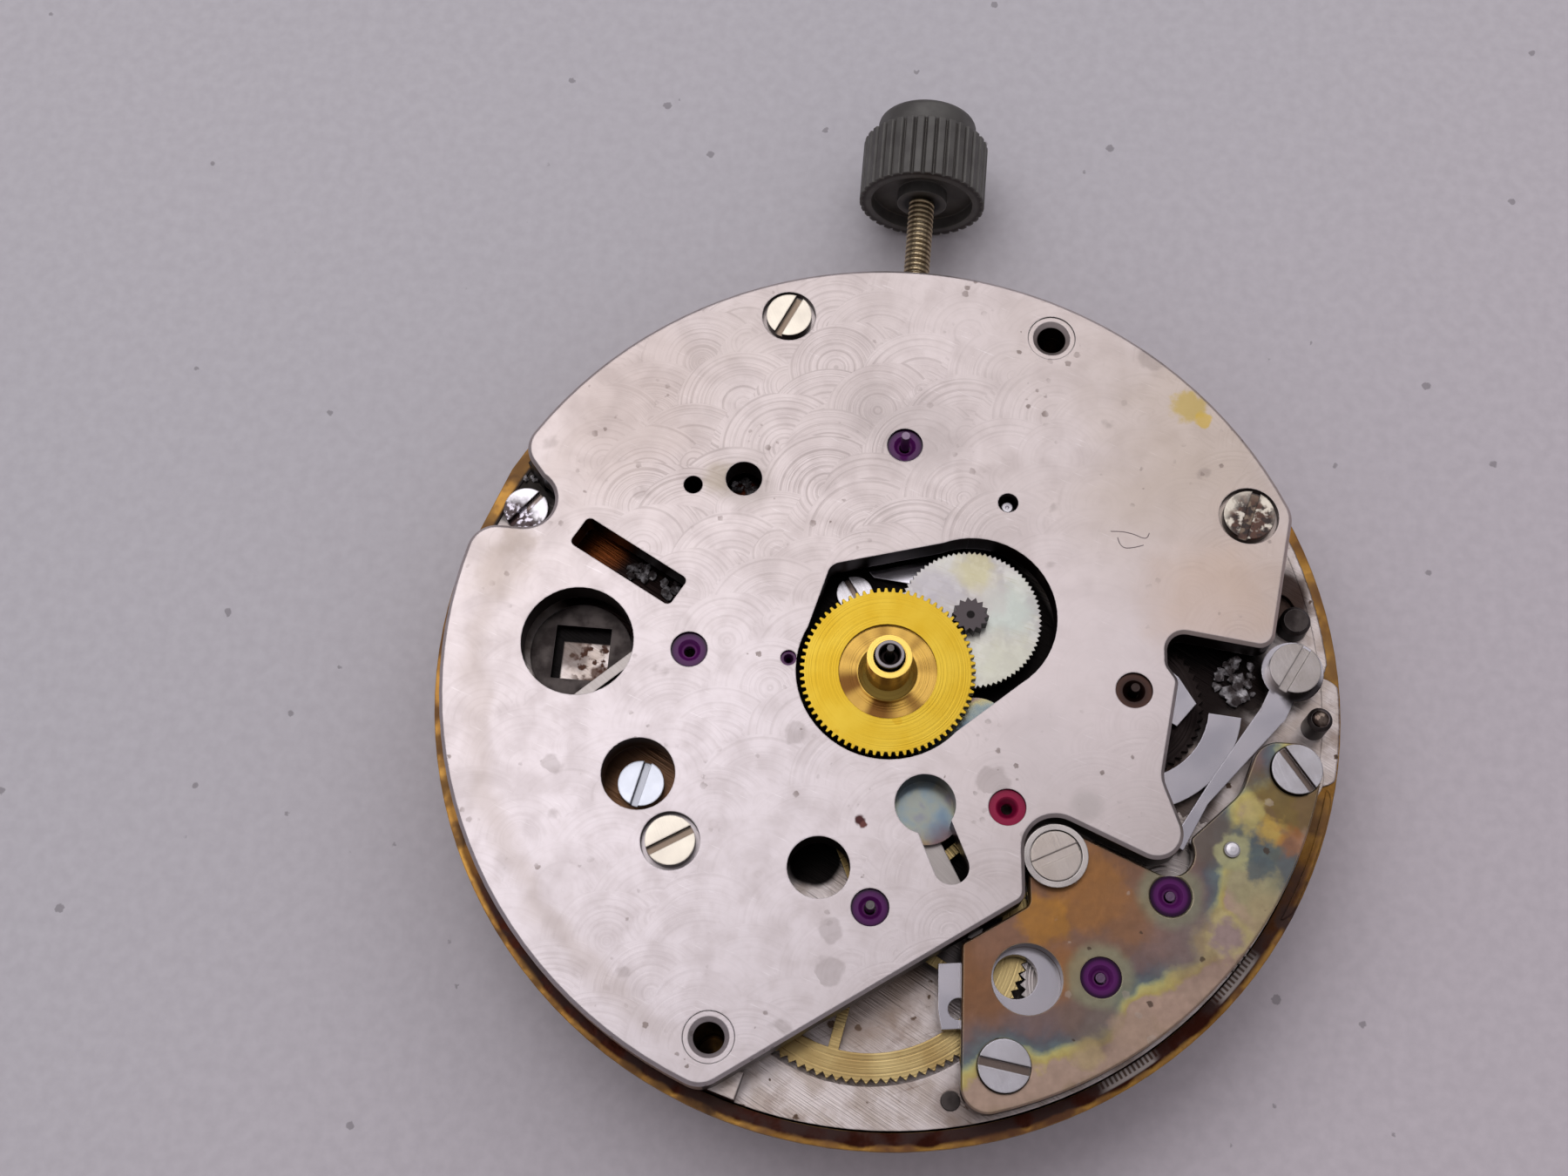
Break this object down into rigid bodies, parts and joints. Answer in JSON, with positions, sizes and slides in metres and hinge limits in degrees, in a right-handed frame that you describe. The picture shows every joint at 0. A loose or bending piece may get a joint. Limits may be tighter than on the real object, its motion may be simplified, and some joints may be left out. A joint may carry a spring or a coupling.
{
  "type": "mechanical watch movement",
  "caption": "Round mechanical chronograph watch movement, dial side up, with motion work, counting levers, going train, winding stem and crown.",
  "frame": {"origin": "hand axis at the dial-side face of the dial-side plate", "axes": "+Z out of the dial side along the hand axis, +Y along the winding stem towards the crown"},
  "size_m": [0.0308, 0.0392, 0.0093],
  "materials": {
    "silvered": "circular grained, silver-rose",
    "gilt": "gilt, darkened by age",
    "stained": "heat and water stained",
    "polished_steel": "polished",
    "dark_steel": "oxidised",
    "brass": "plain",
    "bright_brass": "gilt, bright",
    "bronze": "dark bronze",
    "ruby": "polished synthetic ruby",
    "crown_steel": "satin"
  },
  "bodies": {
    "root": {"top_plate": "silvered", "top_plate_jewels": "ruby", "hour_counter_bush": "bronze", "module_plate": "silvered", "main_plate": "gilt", "stained_bridge": "stained", "stained_bridge_jewels": "ruby", "sleeve": "polished_steel", "plate_screws": "polished_steel", "module_screws": "polished_steel", "stained_bridge_screws": "polished_steel", "eyelets": "silvered", "posts": "dark_steel", "reset_spring": "polished_steel", "minute_jumper": "polished_steel", "lever_cover": "stained", "socket_ring": "dark_steel", "socket_bar": "polished_steel", "hairspring": "dark_steel", "crown_wheel_core": "polished_steel", "click_spring": "polished_steel", "barrel_bridge": "gilt", "train_bridge": "gilt", "bridge_jewels": "ruby", "balance_cock": "gilt", "pallet_bridge": "gilt", "bridge_screws": "polished_steel"},
    "hour": {"hour_wheel": "bright_brass"},
    "minute": {"minute_wheel": "silvered"},
    "cannon": {"cannon_pinion": "polished_steel"},
    "setting": {"setting_wheel": "polished_steel"},
    "idler": {"idler_wheel": "polished_steel"},
    "fourth": {"fourth_wheel": "brass", "brass_wheel": "brass"},
    "third": {"third_wheel": "brass"},
    "centre": {"centre_wheel": "brass", "centre_arbor": "polished_steel"},
    "barrel_drum": {"barrel": "brass"},
    "escape": {"escape_wheel": "polished_steel"},
    "first_reduction": {"first_reduction_wheel": "brass"},
    "second_reduction": {"second_reduction_wheel": "silvered"},
    "runner": {"chronograph_runner": "brass"},
    "minutes_counter": {"minute_counter": "brass"},
    "hours_counter": {"hour_counter": "brass"},
    "balance": {"balance_wheel": "brass"},
    "pallets": {"pallet_fork": "polished_steel"},
    "reset": {"reset_lever": "polished_steel"},
    "hammer": {"hour_hammer": "polished_steel"},
    "block": {"block_lever": "polished_steel"},
    "keyhole": {"keyhole_lever": "polished_steel"},
    "winding": {"winding_pinion": "polished_steel"},
    "stem_crown": {"stem": "polished_steel", "crown": "crown_steel"},
    "clutch": {"sliding_pinion": "polished_steel"},
    "crown_gear": {"crown_wheel": "polished_steel"},
    "ratchet": {"ratchet_wheel": "polished_steel", "barrel_arbor": "polished_steel"},
    "click_pawl": {"click": "polished_steel"},
    "setting_arm": {"setting_lever": "polished_steel"},
    "yoke_arm": {"yoke": "polished_steel"}
  },
  "joints": [
    {"name": "cannon_turn", "type": "hinge", "parent": "root", "child": "cannon", "pos_m": [0, 0, 0], "axis": [0, 0, 1], "continuous": true},
    {"name": "minute_turn", "type": "hinge", "parent": "root", "child": "minute", "pos_m": [0.00264, 0.00221, 0], "axis": [0, 0, 1], "continuous": true},
    {"name": "hour_turn", "type": "hinge", "parent": "root", "child": "hour", "pos_m": [0, 0, 0], "axis": [0, 0, 1], "continuous": true},
    {"name": "idler_turn", "type": "hinge", "parent": "root", "child": "idler", "pos_m": [0.00206, 0.00526, -0.00355], "axis": [0, 0, 1], "continuous": true},
    {"name": "setting_wheel_turn", "type": "hinge", "parent": "root", "child": "setting", "pos_m": [0, 0.0073, -0.00355], "axis": [0, 0, 1], "continuous": true},
    {"name": "fourth_turn", "type": "hinge", "parent": "root", "child": "fourth", "pos_m": [0, -0.008, 0], "axis": [0, 0, 1], "continuous": true},
    {"name": "third_turn", "type": "hinge", "parent": "root", "child": "third", "pos_m": [-0.00098, -0.00439, -0.005], "axis": [0, 0, 1], "continuous": true},
    {"name": "centre_turn", "type": "hinge", "parent": "root", "child": "centre", "pos_m": [0, 0, -0.005], "axis": [0, 0, 1], "continuous": true},
    {"name": "barrel_turn", "type": "hinge", "parent": "root", "child": "barrel_drum", "pos_m": [-0.00546, 0.00315, -0.005], "axis": [0, 0, 1], "continuous": true},
    {"name": "escape_turn", "type": "hinge", "parent": "root", "child": "escape", "pos_m": [0.00289, -0.00905, -0.005], "axis": [0, 0, 1], "continuous": true},
    {"name": "first_reduction_turn", "type": "hinge", "parent": "root", "child": "first_reduction", "pos_m": [0.00753, -0.00951, -0.00175], "axis": [0, 0, 1], "continuous": true},
    {"name": "second_reduction_turn", "type": "hinge", "parent": "root", "child": "second_reduction", "pos_m": [0.00967, -0.00668, -0.00175], "axis": [0, 0, 1], "continuous": true},
    {"name": "runner_turn", "type": "hinge", "parent": "root", "child": "runner", "pos_m": [0, 0, 0], "axis": [0, 0, 1], "continuous": true},
    {"name": "minutes_counter_turn", "type": "hinge", "parent": "root", "child": "minutes_counter", "pos_m": [0, 0.0082, 0], "axis": [0, 0, 1], "continuous": true},
    {"name": "hours_counter_turn", "type": "hinge", "parent": "root", "child": "hours_counter", "pos_m": [0.0082, 0, 0], "axis": [0, 0, 1], "continuous": true},
    {"name": "balance_swing", "type": "hinge", "parent": "root", "child": "balance", "pos_m": [0.0076, -0.006, -0.006], "axis": [0, 0, 1], "range_deg": [-270, 270], "stiffness_Nm_per_rad": 0.0000003},
    {"name": "pallet_rock", "type": "hinge", "parent": "root", "child": "pallets", "pos_m": [0.00512, -0.00761, -0.005], "axis": [0, 0, 1], "range_deg": [-5, 5]},
    {"name": "reset_lever_swing", "type": "hinge", "parent": "root", "child": "reset", "pos_m": [0.00519, -0.00122, -0.00128], "axis": [0, 0, 1], "range_deg": [0, 3]},
    {"name": "hour_hammer_swing", "type": "hinge", "parent": "root", "child": "hammer", "pos_m": [0.007, 0.00356, -0.00128], "axis": [0, 0, 1], "range_deg": [0, 4]},
    {"name": "block_lever_swing", "type": "hinge", "parent": "root", "child": "block", "pos_m": [0.00375, -0.01001, -0.00115], "axis": [0, 0, 1], "range_deg": [0, 4]},
    {"name": "keyhole_lever_swing", "type": "hinge", "parent": "root", "child": "keyhole", "pos_m": [0.0029, -0.0073, -0.00123], "axis": [0, 0, 1], "range_deg": [0, 3]},
    {"name": "winding_turn", "type": "hinge", "parent": "root", "child": "winding", "pos_m": [0, 0.01175, -0.0043], "axis": [0, 1, 0], "continuous": true},
    {"name": "crown_wheel_turn", "type": "hinge", "parent": "root", "child": "crown_gear", "pos_m": [0, 0.009, -0.00571], "axis": [0, 0, 1], "continuous": true},
    {"name": "ratchet_turn", "type": "hinge", "parent": "root", "child": "ratchet", "pos_m": [-0.00546, 0.00315, -0.00571], "axis": [0, 0, 1], "continuous": true},
    {"name": "click_swing", "type": "hinge", "parent": "root", "child": "click_pawl", "pos_m": [-0.00785, 0.00908, -0.00571], "axis": [0, 0, 1], "range_deg": [0, 8], "stiffness_Nm_per_rad": 0.0000001},
    {"name": "crown_pull", "type": "slide", "parent": "winding", "child": "stem_crown", "axis": [0, 1, 0], "range_m": [0, 0.0008]},
    {"name": "clutch_slide", "type": "slide", "parent": "winding", "child": "clutch", "axis": [0, -1, 0], "range_m": [0, 0.0006]},
    {"name": "setting_lever_swing", "type": "hinge", "parent": "root", "child": "setting_arm", "pos_m": [0.0024, 0.0135, -0.00325], "axis": [0, 0, 1], "range_deg": [-19.5, 0]},
    {"name": "yoke_swing", "type": "hinge", "parent": "root", "child": "yoke_arm", "pos_m": [-0.0024, 0.01005, -0.00325], "axis": [0, 0, 1], "range_deg": [-14.4, 0]}
  ],
  "couplings": [
    {"joint": "minute_turn", "follows": "cannon_turn", "ratio": -0.42857},
    {"joint": "hour_turn", "follows": "cannon_turn", "ratio": 0.083333},
    {"joint": "idler_turn", "follows": "cannon_turn", "ratio": 0.40179},
    {"joint": "setting_wheel_turn", "follows": "cannon_turn", "ratio": -0.49451},
    {"joint": "third_turn", "follows": "fourth_turn", "ratio": -0.13333},
    {"joint": "centre_turn", "follows": "fourth_turn", "ratio": 0.016667},
    {"joint": "barrel_turn", "follows": "fourth_turn", "ratio": -0.0027778},
    {"joint": "escape_turn", "follows": "fourth_turn", "ratio": -10},
    {"joint": "first_reduction_turn", "follows": "fourth_turn", "ratio": -2.2128},
    {"joint": "second_reduction_turn", "follows": "fourth_turn", "ratio": 0.40567},
    {"joint": "crown_wheel_turn", "follows": "winding_turn", "ratio": 0.4},
    {"joint": "ratchet_turn", "follows": "winding_turn", "ratio": -0.24},
    {"joint": "clutch_slide", "follows": "crown_pull", "ratio": 0.75},
    {"joint": "setting_lever_swing", "follows": "crown_pull", "rad_per_m": -421.93},
    {"joint": "yoke_swing", "follows": "crown_pull", "rad_per_m": -310.89}
  ]
}
